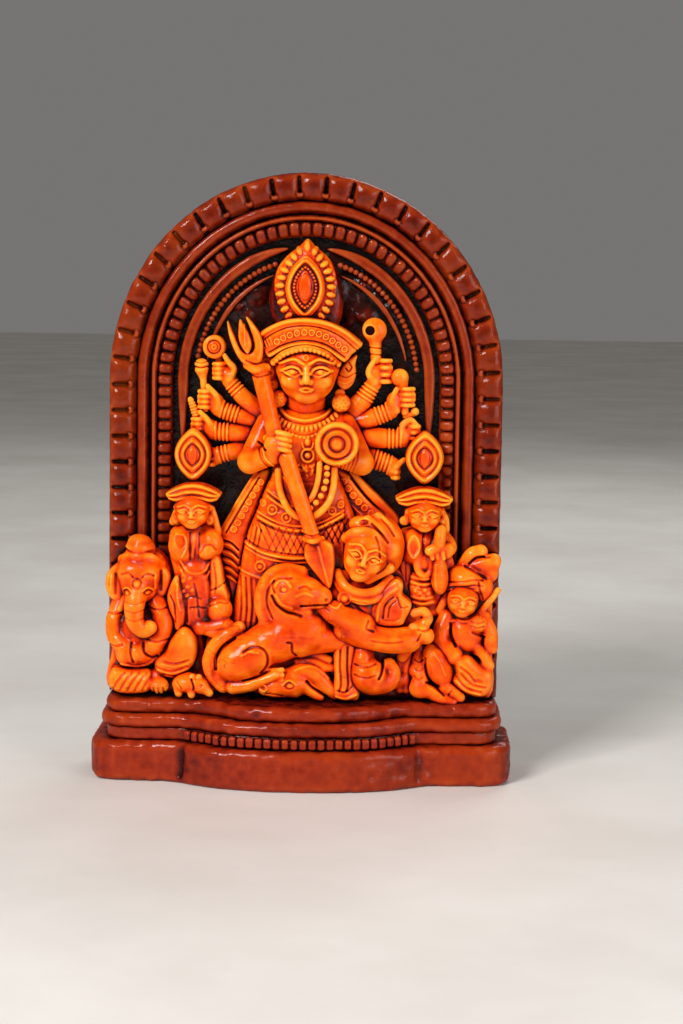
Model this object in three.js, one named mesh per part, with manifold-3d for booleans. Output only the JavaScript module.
// A relief statuette: a many-armed goddess with her lion, a defeated demon and four attendants,
// set in a round-headed niche on a stepped plinth. Millimetres, +Z up, the front faces -Y, and
// the origin is the middle of the plinth's underside.
import * as THREE from "three";
import { mergeVertices } from "three/addons/utils/BufferGeometryUtils.js";
import Module from "manifold-3d";

const wasm = await Module();
wasm.setup();

// ---- driving dimensions ----
const GAP = 0.3; // clearance between neighbouring pieces

const BASE_TIER = { half: 71, bottom: 0, top: 13.6, wing: -12, bulge: -25, notch: 40.5, corner: 12 };
const BEAD_COURSE = { half: 66.5, bottom: 13.9, top: 17.8, wing: -9, bulge: -21.5, notch: 36, corner: 10 };
const ROLL_TIER = { half: 67.7, bottom: 18.1, top: 22.4, wing: -10.2, bulge: -22.7, notch: 35.5, corner: 11 };
const TOP_LEDGE = { half: 66, bottom: 22.7, top: 27.3, wing: -8.5, bulge: -21, notch: 31, corner: 10 };
const BACK_Y = 25; // the plinth's back face
const BASE_EDGE = 2.2; // rounding of the base tier's edges
const TIER_EDGE = 1.5; // rounding of the upper tiers' edges
const PLINTH_BEAD = { radius: 1.35, pitch: 2.8, reach: 36 };

const ARCH = { half: 66, spring: 133, rise: 70, foot: TOP_LEDGE.top + GAP };
const PANEL_FRONT = 14.3;
const PANEL_BACK = 22;
const RING_BACK = PANEL_FRONT - GAP;
const BLOCK_BORDER = { from: 0, to: 9, front: 6.2 };
const OUTER_ROLL = { from: 9.3, to: 13.5, front: 6 };
const INNER_ROLL = { from: 14.8, to: 16.8, front: 7 };
const BEAD_BORDER = { from: 17.1, to: 21.7, front: 8.6 };
const FRAME_BAND = { from: 23.2, to: 26, front: 7 };
const BEAD_STRING = { from: 27.6, to: 28.6, front: 11.6 };
const FILLET = { from: 31.2, to: 32.2, front: 11 };
const BLOCK = { pitch: 8.7, width: 7, proud: 1.6, inner: 7.6 };
const BORDER_BEAD = { radius: 2.1, pitch: 7.8 };
const STRING_BEAD = { radius: 1.1, pitch: 11 };

const FLOOR_Z = TOP_LEDGE.top + GAP; // figures stand on this level
const ARCH_FACETS = 28; // facets of the back panel's outline
// The foremost level of what stands proud of each border, which the figures keep clear of.
const PROUD_FRONT = { block: 4.9, borderBead: 6.7, stringBead: 10.6 };
const BROAD = 5; // forms with a larger radius than this get more facets

const GLAZE = { clay: 0xe8641a, ring: 0x8c2d0e, plinth: 0x9c3214, niche: 0x2a0c08 };

// ---- closed solids ----
function solidOf(geometry) {
  const bare = new THREE.BufferGeometry().setAttribute("position", geometry.getAttribute("position"));
  if (geometry.index) {
    bare.setIndex(geometry.index);
  }
  const merged = mergeVertices(bare, 1e-4);
  return new wasm.Manifold(
    new wasm.Mesh({
      numProp: 3,
      vertProperties: merged.attributes.position.array,
      triVerts: new Uint32Array(merged.index.array),
    }),
  );
}

function meshOf(name, solid, colour) {
  const made = solid.getMesh();
  const geometry = new THREE.BufferGeometry();
  geometry.setAttribute("position", new THREE.BufferAttribute(made.vertProperties, 3));
  geometry.setIndex(new THREE.BufferAttribute(made.triVerts, 1));
  geometry.computeVertexNormals();
  const material = new THREE.MeshStandardMaterial({ color: colour, roughness: 0.3, metalness: 0 });
  const mesh = new THREE.Mesh(geometry, material);
  mesh.name = name;
  return mesh;
}

// The largest body of a solid that its neighbours may have cut in two.
function mainBody(solid) {
  const bodies = solid.decompose();
  return bodies.reduce((best, body) => (body.volume() > best.volume() ? body : best));
}

// Every form below is a function of the clearance to add all round it.
function ball(centre, radii) {
  const broad = Math.max(...radii) > BROAD;
  return (grow) => {
    const geometry = new THREE.SphereGeometry(1, broad ? 8 : 6, broad ? 6 : 4);
    geometry.rotateX(Math.PI / 2);
    geometry.scale(...radii.map((r) => r + grow));
    geometry.translate(...centre);
    return solidOf(geometry);
  };
}

// A tapered round bar with round ends.
function limb(start, end, startRadius, endRadius) {
  return (grow) => {
    const a = new THREE.Vector3(...start);
    const b = new THREE.Vector3(...end);
    const length = a.distanceTo(b);
    const r = startRadius + grow;
    const s = endRadius + grow;
    const profile = [
      [0, -r],
      [0.75 * r, -0.66 * r],
      [r, 0],
      [s, length],
      [0.75 * s, length + 0.66 * s],
      [0, length + s],
    ];
    const geometry = new THREE.LatheGeometry(
      profile.map((p) => new THREE.Vector2(...p)),
      startRadius > BROAD ? 8 : 6,
    );
    const up = new THREE.Vector3(0, 1, 0);
    geometry.applyQuaternion(new THREE.Quaternion().setFromUnitVectors(up, b.clone().sub(a).normalize()));
    geometry.translate(...start);
    return solidOf(geometry);
  };
}

// A round rope through points.
function rope(points, radius, steps = 3 * points.length) {
  return (grow) => {
    const section = new THREE.Shape();
    section.absarc(0, 0, radius + grow, 0, 2 * Math.PI, false);
    const extrudePath = new THREE.CatmullRomCurve3(points.map((p) => new THREE.Vector3(...p)));
    return solidOf(new THREE.ExtrudeGeometry(section, { extrudePath, steps, curveSegments: 3 }));
  };
}

// A flat outline in the x-z plane between two depths.
function plate(outline, front, back) {
  return (grow) => {
    const middle = outline.reduce((sum, p) => [sum[0] + p[0], sum[1] + p[1]], [0, 0]);
    const centre = middle.map((v) => v / outline.length);
    const spread = outline.map(([x, z]) => {
      const away = Math.hypot(x - centre[0], z - centre[1]);
      const scale = (away + 1.5 * grow) / away;
      return new THREE.Vector2(centre[0] + scale * (x - centre[0]), centre[1] + scale * (z - centre[1]));
    });
    return upright(new THREE.Shape(spread), front - grow, back + grow);
  };
}

// A round or oval plate facing forward.
function disc(x, z, radiusX, radiusZ, front, back) {
  return (grow) => {
    const shape = new THREE.Shape();
    shape.absellipse(x, z, radiusX + grow, radiusZ + grow, 0, 2 * Math.PI, false);
    return upright(shape, front - grow, back + grow, 8);
  };
}

function upright(shape, front, back, curveSegments = 6) {
  const options = { depth: back - front, bevelEnabled: false, curveSegments };
  const geometry = new THREE.ExtrudeGeometry(shape, options);
  geometry.rotateX(Math.PI / 2);
  geometry.translate(0, back, 0);
  return solidOf(geometry);
}

function block(low, high) {
  const size = low.map((v, i) => high[i] - v);
  const geometry = new THREE.BoxGeometry(...size);
  geometry.translate(...low.map((v, i) => v + size[i] / 2));
  return solidOf(geometry);
}

function union(solids) {
  return solids.reduce((all, solid) => all.add(solid));
}

function grown(forms, grow) {
  return union(forms.map((form) => form(grow)));
}

// ---- plinth ----
function planOutline({ half, wing, bulge, notch, corner }) {
  const lobe = 0.75 * (bulge - wing);
  const shape = new THREE.Shape();
  shape.moveTo(-half, BACK_Y);
  shape.lineTo(-half, wing + corner);
  shape.quadraticCurveTo(-half, wing, -half + corner, wing);
  shape.lineTo(-notch, wing);
  shape.bezierCurveTo(-notch, wing + lobe, -0.6 * notch, bulge, 0, bulge);
  shape.bezierCurveTo(0.6 * notch, bulge, notch, wing + lobe, notch, wing);
  shape.lineTo(half - corner, wing);
  shape.quadraticCurveTo(half, wing, half, wing + corner);
  shape.lineTo(half, BACK_Y);
  return shape;
}

function tier(size, edge) {
  const bevel = { bevelEnabled: true, bevelThickness: edge, bevelSize: edge, bevelOffset: -edge };
  const depth = size.top - size.bottom - 2 * edge;
  const options = { ...bevel, bevelSegments: 2, depth, curveSegments: 6 };
  const geometry = new THREE.ExtrudeGeometry(planOutline(size), options);
  geometry.translate(0, 0, size.bottom + edge);
  return solidOf(geometry);
}

function beadCourse() {
  const options = { depth: BEAD_COURSE.top - BEAD_COURSE.bottom, bevelEnabled: false, curveSegments: 8 };
  const geometry = new THREE.ExtrudeGeometry(planOutline(BEAD_COURSE), options);
  geometry.translate(0, 0, BEAD_COURSE.bottom);
  return solidOf(geometry);
}

// The row of touching beads along the lobe of the bead course.
function plinthBeadString() {
  const { radius, pitch, reach } = PLINTH_BEAD;
  const z = (BEAD_COURSE.top + BEAD_COURSE.bottom) / 2;
  const stand = radius + GAP;
  const { bulge, notch, wing } = BEAD_COURSE;
  const line = planOutline({ ...BEAD_COURSE, bulge: bulge - stand, notch: notch + stand });
  const lobe = line.getSpacedPoints(120).filter((p) => Math.abs(p.x) < reach && p.y < wing - stand);
  const curve = new THREE.CatmullRomCurve3(lobe.map((p) => new THREE.Vector3(p.x, p.y, z)));
  const count = Math.round(curve.getLength() / pitch);
  const stops = curve.getSpacedPoints(count);
  const beads = stops.map((p, i) => {
    const turn = curve.getTangentAt(i / count);
    const bead = new THREE.OctahedronGeometry(radius, 0);
    bead.scale(1.2, 1, 1);
    bead.rotateZ(Math.atan2(turn.y, turn.x));
    bead.translate(p.x, p.y, p.z);
    return solidOf(bead);
  });
  return union(beads);
}

// ---- arch ----
// The path of the arch at a distance in from its outer edge, open at the foot.
function archPath(inset) {
  const path = new THREE.Path();
  path.moveTo(-ARCH.half + inset, ARCH.foot);
  path.lineTo(-ARCH.half + inset, ARCH.spring);
  path.absellipse(0, ARCH.spring, ARCH.half - inset, ARCH.rise - inset, Math.PI, 0, true);
  path.lineTo(ARCH.half - inset, ARCH.foot);
  return path;
}

function archShape(from, to) {
  const outer = archPath(from).getPoints(14);
  if (to === undefined) {
    return new THREE.Shape(outer);
  }
  return new THREE.Shape([...outer, ...archPath(to).getPoints(14).reverse()]);
}

function ring(size) {
  return (grow) => upright(archShape(size.from - grow, size.to + grow), size.front - grow, RING_BACK);
}

// Calls make(point, direction) at even steps of arc length along the arch.
function alongArch(inset, pitch, make) {
  const path = archPath(inset);
  const count = Math.floor(path.getLength() / pitch);
  const made = [];
  for (let i = 0; i < count; i += 1) {
    const at = (i + 0.5) / count;
    made.push(make(path.getPointAt(at), path.getTangentAt(at)));
  }
  return made;
}

// A square block that stands proud of the border.
function borderBlock(point, tangent) {
  const front = BLOCK_BORDER.front - BLOCK.proud;
  const depth = (RING_BACK - front) / 2;
  const geometry = new THREE.BoxGeometry(BLOCK.width, depth, BLOCK.inner);
  geometry.rotateY(-Math.atan2(tangent.y, tangent.x));
  geometry.translate(point.x, front + depth / 2, point.y);
  return solidOf(geometry);
}

function borderBead(front, radius) {
  return (point) => {
    const geometry = new THREE.OctahedronGeometry(radius, 0);
    geometry.translate(point.x, front, point.y);
    return solidOf(geometry);
  };
}

function blockBorder() {
  const blocks = alongArch((BLOCK_BORDER.from + BLOCK_BORDER.to) / 2, BLOCK.pitch, borderBlock);
  const within = ring({ ...BLOCK_BORDER, front: 0 })(0);
  return union([ring(BLOCK_BORDER)(0), ...blocks.map((solid) => solid.intersect(within))]);
}

function beadBorder() {
  const middle = (BEAD_BORDER.from + BEAD_BORDER.to) / 2;
  const beads = alongArch(middle, BORDER_BEAD.pitch, borderBead(BEAD_BORDER.front, BORDER_BEAD.radius));
  return union([ring(BEAD_BORDER)(0), ...beads]);
}

function beadString() {
  const middle = (BEAD_STRING.from + BEAD_STRING.to) / 2;
  const beads = alongArch(middle, STRING_BEAD.pitch, borderBead(BEAD_STRING.front, STRING_BEAD.radius));
  return union([ring(BEAD_STRING)(0), ...beads]);
}

// ---- goddess ----
const spear = [
  limb([-5.5, -5, 109], [3, -9, 81], 2.4, 2),
  disc(3.2, 80.6, 3, 1.6, -11, -6.5),
  plate([[1, 80.6], [2, 74.5], [10.6, 63.5], [11, 72.5], [6.5, 80.6]], -11, -8),
];

const trident = [
  limb([-17.6, -2, 139], [-10.6, -5.5, 117.5], 2.8, 2.2),
  disc(-18.2, 139.5, 3.2, 1.9, -6, 1),
  plate([[-25.5, 148], [-24.5, 143], [-20, 140.5], [-15.6, 144], [-16, 148]], -5, -1),
  plate([[-26.6, 149.5], [-27.6, 153.6], [-24.4, 149], [-24, 145], [-26, 145]], -5, -1),
  plate([[-23.3, 147.5], [-23.4, 154.5], [-19.5, 148], [-20.5, 144], [-22.5, 144]], -5.5, -1),
  plate([[-18, 147], [-20.2, 155.3], [-15.5, 149], [-15.6, 144], [-18, 144]], -5, -1),
];

const shield = [
  disc(9.5, 114, 7.3, 7.3, -8.5, -6),
  disc(9.5, 114, 5.3, 5.3, -9.3, -8),
  disc(9.5, 114, 1.7, 1.7, -10.6, -8),
];

const rightMainArm = [
  limb([-13, 4, 119], [-18.5, 0, 107], 4, 3.8),
  limb([-18, -1, 106.5], [-9, -5, 111], 3.6, 3),
  ball([-8, -6, 114], [4.6, 3.4, 4.8]),
];

const leftMainArm = [
  limb([14, 4, 119.5], [19.4, 0, 107.5], 4, 3.8),
  limb([19, -1, 106.5], [11, -4, 110], 3.6, 3),
];

const crownPlume = [
  plate(
    [[-5, 155], [-10.5, 162], [-10, 168], [-5, 176], [0, 181], [5, 176], [10, 168], [10.5, 162], [5, 155]],
    2,
    10,
  ),
  ball([-0.6, 3, 165], [5, 3.5, 9]),
];

const crownBand = [
  plate(
    [[-11.6, 142], [-16.5, 147], [-9, 152.6], [0, 154.4], [9, 152], [17.6, 146.4], [12.8, 141.6], [0, 146]],
    -6,
    11,
  ),
];

const deityHead = [
  ball([0.5, 3, 135.2], [10.4, 8.6, 10.6]),
  limb([0, 6, 127], [0, 7, 120], 6, 6.4),
];

const rightEarOrnament = [
  ball([-12.6, 4, 139.6], [2, 2, 3.4]),
  limb([-12.2, 4, 138], [-8.6, 3, 128], 1.5, 2.4),
];

const leftEarOrnament = [
  ball([14, 4, 137.5], [2.6, 2.4, 5.6]),
  limb([13.2, 4, 134], [11.9, 2.5, 127.5], 1.6, 3),
];

const garland = [
  rope([[-8.4, -1.5, 105], [-7, -3.6, 97.5], [-3.4, -5, 91], [1, -5.6, 88], [4, -5, 89], [8.2, -3.6, 93],
    [10.2, -1.5, 105]], 1.3),
];

const deityTorso = [
  ball([0, 7, 114], [13.5, 7, 9.5]),
  ball([0, 7, 103.5], [11, 7.6, 9]),
  rope([[-7, 0.6, 120.6], [0.4, -1, 117.4], [7.4, 0.6, 120.6]], 1.6),
];

// One rear arm: from the shoulder to the wrist, then a closed hand.
function rearArm(shoulder, wrist, hand, thickness) {
  return [limb(shoulder, wrist, thickness, 0.82 * thickness), limb(wrist, hand, 0.82 * thickness, 3)];
}

const rightRearArms = [
  rearArm([-15, 10, 122], [-25, 8, 132.6], [-26.6, 6, 137.4], 2.6),
  rearArm([-15, 9, 119.4], [-29, 8, 123.6], [-32.4, 6, 127.4], 2.5),
  rearArm([-15, 9, 114.6], [-31, 8, 116.4], [-34.6, 6, 119], 2.6),
  rearArm([-18, 9, 110.6], [-29, 8, 108.4], [-32.4, 6, 109.4], 2.4),
];

const leftRearArms = [
  rearArm([14.6, 10, 122], [22, 8, 132.6], [24.6, 6, 137.4], 2.8),
  rearArm([14.6, 9, 119.4], [28.4, 8, 124], [32.4, 6, 128], 2.6),
  rearArm([17, 9, 114.6], [32.4, 8, 115], [35.6, 6, 118.4], 2.8),
  rearArm([19, 9, 109.4], [28.6, 8, 106.6], [32, 6, 104.6], 2.6),
];

const heldDisc = [disc(-30.8, 145, 3.9, 3.9, 3, 8)];
const heldMace = [limb([-34.3, 6.5, 133], [-35.1, 6.5, 138.6], 1.8, 2.5)];
const heldConch = [limb([-37, 7, 124], [-38.6, 7, 127], 1.8, 1.6)];
const heldNoose = [disc(22.8, 151.4, 4.1, 4.1, 3.5, 8), limb([23.4, 6, 146], [23.6, 6, 143], 2, 1.8)];
const heldLotus = [ball([31.5, 6, 135.4], [2.9, 2.9, 2.9])];

const skirt = [
  plate(
    [[-10.8, 103], [-15, 92], [-19.8, 78], [-23, 60], [-23, 50], [24, 50], [22, 70], [17, 88], [10.8, 103]],
    -1,
    13.6,
  ),
  ball([0, 1, 88], [12, 6, 12]),
  ball([-4, 1, 74], [15, 7.5, 16]),
];

const rightSash = [
  limb([-13, 4, 100.5], [-23.5, 3, 82], 2.6, 3.2),
  plate([[-23, 84], [-28.6, 82], [-28.4, 70], [-24.6, 58], [-21.8, 66], [-20.6, 77]], 1, 8),
];

const leftSash = [
  limb([12.8, 4, 101.6], [22.6, 3, 91.4], 2.4, 3),
  limb([16, 7, 101.6], [29, 6, 89.4], 1.8, 2.6),
];

// ---- lion, demon and buffalo ----
const lion = [
  ball([-4, -5, 65.6], [11, 8, 9]),
  limb([-2, -6, 65], [5.6, -8, 64], 6.4, 4.4),
  limb([-8.4, -2, 57], [-3, -4, 49.5], 8, 8.4),
  ball([-20.4, -6, 40.2], [9, 7.5, 7]),
  limb([-18, -2, 45], [-4, -3, 49], 6.6, 7),
  limb([2, -5, 47], [14, -6, 47.6], 3.4, 2.4),
  limb([-22, -8, 32.6], [-9, -8, 36.4], 2.4, 2),
  rope([[-22, -2, 49.6], [-29.5, -3, 47], [-32.2, -4, 40.6], [-30.6, -5, 35], [-26.6, -5, 33.4]], 1.7),
];

const demonHead = [
  ball([21, -5, 77.4], [9, 8.4, 9.4]),
  ball([25.4, -1, 81.4], [7.4, 7, 9]),
];

const demonTorso = [
  rope([[12.4, -6, 71.4], [14.6, -8.4, 67.4], [21, -9.4, 65.2], [28.4, -7, 68.6]], 2),
  plate([[10.6, 72], [9.6, 66], [12, 60], [21, 56], [30, 60], [31, 68], [24, 66]], -6.5, 2),
];

const demonPlate = [
  plate([[23, 58], [25, 64], [30, 69], [33.6, 67], [34, 63], [36.2, 60.6], [34.6, 56], [28, 54]], -10, -5),
];

const demonArm = [
  limb([5, -7, 58.6], [19, -8, 55], 3, 4),
  limb([19, -7, 53], [36, -7, 49.6], 4.4, 3.6),
  ball([39, -7, 53.6], [3.8, 3.6, 4]),
];

const demonLegDrape = [
  plate([[11.6, 47.6], [17, 48], [16.6, 36], [18.2, 29.6], [11.6, 29.6], [12.6, 34]], -10, -2),
];

const demonKnee = [
  ball([21.6, -6, 39.8], [4.6, 6, 8.4]),
  ball([25, -6, 35.4], [6.4, 6, 5.2]),
];

const buffalo = [
  limb([-9.6, -11, 32.6], [-2, -9, 33.4], 2.6, 4.2),
  limb([-1, -8, 34.6], [3, -6, 36], 4, 4.2),
  limb([3.6, -8, 35.6], [9, -9, 31.6], 2.4, 2),
  plate([[0, 44], [9, 42], [9.4, 36], [1, 38]], -4, 4),
];

// ---- attendants ----
const ganeshaHead = [
  ball([-56.4, -3, 69.6], [7.2, 6.4, 8.2]),
  ball([-56.6, -2, 78], [5.4, 4.6, 4]),
  limb([-57, -7, 63], [-57, -9, 55], 3.4, 2.4),
  ball([-48.4, 0, 66.4], [3, 3, 5]),
  ball([-64, 0, 66], [2.8, 3, 5]),
];

const ganeshaBody = [
  ball([-56, -3, 45], [8.4, 8, 9]),
  limb([-49, -4, 56.6], [-48.6, -6, 47], 3.6, 4),
  limb([-63, -2, 57], [-62.6, -4, 48], 3, 3.4),
  limb([-46, -5, 39.6], [-40.6, -4, 46.4], 4.8, 3.2),
  ball([-58, -6, 34.4], [6.4, 6, 4.4]),
  ball([-50.4, -7.4, 31.2], [3.4, 3.4, 2.8]),
];

const mouse = [ball([-40, -6, 31.4], [3.4, 3.6, 3.2]), limb([-38, -6, 31.4], [-33.4, -6, 30], 2.4, 1.4)];

// The outline of a flared crown band about x.
function crownFan(x) {
  return [[x - 5, 94.6], [x - 8.8, 96.6], [x - 3.6, 101.2], [x + 3.6, 101.2], [x + 8.8, 96.6], [x + 5, 94.6]];
}

// The crown that both standing attendants wear: an oval plume over a flared band.
function attendantCrown(x) {
  return [
    disc(x, 108.6, 5.7, 8.4, 0, 6.5),
    plate(crownFan(x), -6, 6.5),
  ];
}

// A standing attendant's head and neck.
function attendantHead(x) {
  return [ball([x, -0.6, 89.8], [5.6, 5, 5.6]), limb([x, 0, 86], [x, 0, 80], 3, 3.4)];
}

const lakshmi = [
  ...attendantHead(-38.8),
  limb([-42.4, -1, 82], [-42.2, -2, 78], 3.4, 3.4),
  limb([-33.4, -1, 82], [-32.6, -2, 78], 3.6, 3.4),
  ball([-37.8, 0, 77], [4.4, 5, 7]),
  limb([-37.6, 0, 70], [-37.4, -1, 56], 4.6, 4.6),
  plate([[-32.4, 75], [-27.8, 72], [-25.6, 56], [-33, 55]], -1, 5),
  plate([[-46, 74], [-41.6, 72], [-39.6, 56], [-43.6, 51.6], [-46.6, 62]], -3, 4),
  ball([-31, -2, 53.4], [5.6, 4.4, 3.8]),
];

const saraswati = [
  ...attendantHead(40),
  limb([36, -1, 81.6], [36, -2, 77.6], 3.2, 3.4),
  ball([40.4, 0, 77], [4.6, 5, 7]),
  limb([39.8, 0, 71], [39.6, -1, 63.6], 4.4, 4.4),
  limb([34.4, 0, 75.6], [33, 0, 69], 1.7, 1.8),
];

const veena = [
  ball([45.4, -1, 83.6], [2.4, 2.6, 3.4]),
  limb([45.2, -1, 80], [45.8, -2, 71], 2, 3.4),
];

const kartikeyaTurban = [
  ball([55, -2, 69.4], [6.8, 6, 5.2]),
  ball([58.4, 0, 76.4], [4, 4, 3.6]),
  ball([62, 0, 73.6], [3.4, 3.6, 2.8]),
];

const kartikeya = [
  ball([54, -3, 61.8], [5.4, 5, 6]),
  ball([54, -2, 49.6], [6, 6, 8.4]),
  limb([48, -3, 55.6], [47.2, -4, 46], 2.6, 2.8),
  limb([59.6, -2, 54.6], [61.4, -3, 47], 3, 2.8),
  ball([56.4, -4, 36.6], [6.4, 6, 6.8]),
  rope([[57.6, -1, 56], [61, 0, 60.6], [64, 1, 65]], 1.1),
];

const peacock = [
  limb([41.6, -5, 43], [46.6, -6, 36], 3, 3.8),
  limb([38.4, -5, 41], [38.4, -6, 33], 2, 2.6),
  limb([41.4, -8, 32], [48.4, -8, 29.6], 2.4, 1.6),
];

// Figures from the front to the back. Each one is cut back by those before it.
const figures = [
  ["spear", spear],
  ["shield", shield],
  ["trident", trident],
  ["right_main_arm", rightMainArm],
  ["left_main_arm", leftMainArm],
  ["garland", garland],
  ["demon_head", demonHead],
  ["demon_plate", demonPlate],
  ["demon_arm", demonArm],
  ["demon_torso", demonTorso],
  ["buffalo", buffalo],
  ["lion", lion],
  ["demon_leg_drape", demonLegDrape],
  ["demon_knee", demonKnee],
  ["crown_band", crownBand],
  ["crown_plume", crownPlume],
  ["deity_head", deityHead],
  ["right_ear_ornament", rightEarOrnament],
  ["left_ear_ornament", leftEarOrnament],
  ["deity_torso", deityTorso],
  ["held_disc", heldDisc],
  ["held_mace", heldMace],
  ["held_conch", heldConch],
  ["held_noose", heldNoose],
  ["held_lotus", heldLotus],
  ...rightRearArms.map((forms, i) => [`right_rear_arm_${i + 1}`, forms]),
  ...leftRearArms.map((forms, i) => [`left_rear_arm_${i + 1}`, forms]),
  ["right_sash", rightSash],
  ["left_sash", leftSash],
  ["mouse", mouse],
  ["ganesha_head", ganeshaHead],
  ["ganesha_body", ganeshaBody],
  ["lakshmi_crown", attendantCrown(-38.4)],
  ["lakshmi", lakshmi],
  ["saraswati_crown", attendantCrown(39.8)],
  ["veena", veena],
  ["saraswati", saraswati],
  ["kartikeya_turban", kartikeyaTurban],
  ["kartikeya", kartikeya],
  ["peacock", peacock],
  ["skirt", skirt],
];

// ---- assembly ----
function boxesMeet(a, b) {
  return [0, 1, 2].every((i) => a.min[i] < b.max[i] && b.min[i] < a.max[i]);
}

const statuette = new THREE.Group();
const setting = [];

function addSetting(name, solid, colour, reach) {
  statuette.add(meshOf(name, solid, colour));
  if (reach) {
    setting.push(reach);
  }
}

addSetting("plinth_base_tier", tier(BASE_TIER, BASE_EDGE), GLAZE.plinth);
addSetting("plinth_bead_course", beadCourse(), GLAZE.plinth);
addSetting("plinth_bead_string", plinthBeadString(), GLAZE.plinth);
addSetting("plinth_roll_tier", tier(ROLL_TIER, TIER_EDGE), GLAZE.plinth);
addSetting("plinth_top_ledge", tier(TOP_LEDGE, TIER_EDGE), GLAZE.plinth);
addSetting("back_panel", upright(archShape(0), PANEL_FRONT, PANEL_BACK, ARCH_FACETS), GLAZE.niche);
const blockReach = ring({ ...BLOCK_BORDER, front: PROUD_FRONT.block })(GAP);
const borderBeadReach = ring({ ...BEAD_BORDER, front: PROUD_FRONT.borderBead })(GAP);
const stringBeadReach = ring({ ...BEAD_STRING, front: PROUD_FRONT.stringBead })(GAP);
addSetting("arch_block_border", blockBorder(), GLAZE.ring, blockReach);
addSetting("arch_outer_roll", ring(OUTER_ROLL)(0), GLAZE.ring, ring(OUTER_ROLL)(GAP));
addSetting("arch_inner_roll", ring(INNER_ROLL)(0), GLAZE.ring, ring(INNER_ROLL)(GAP));
addSetting("arch_bead_border", beadBorder(), GLAZE.ring, borderBeadReach);
addSetting("niche_frame_band", ring(FRAME_BAND)(0), GLAZE.ring, ring(FRAME_BAND)(GAP));
addSetting("niche_bead_string", beadString(), GLAZE.ring, stringBeadReach);
addSetting("niche_fillet", ring(FILLET)(0), GLAZE.ring, ring(FILLET)(GAP));

// The space that the figures may fill: in front of the panel and above the plinth.
const stage = block([-100, -60, FLOOR_Z], [100, RING_BACK, 220]);
const placed = setting.map((solid) => ({ solid, box: solid.boundingBox() }));

figures.forEach(([name, forms]) => {
  let solid = grown(forms, 0).intersect(stage);
  const box = solid.boundingBox();
  placed.forEach((other) => {
    if (boxesMeet(box, other.box)) {
      solid = solid.subtract(other.solid);
    }
  });
  statuette.add(meshOf(name, mainBody(solid), GLAZE.clay));
  const around = grown(forms, GAP);
  placed.push({ solid: around, box: around.boundingBox() });
});

export default statuette;
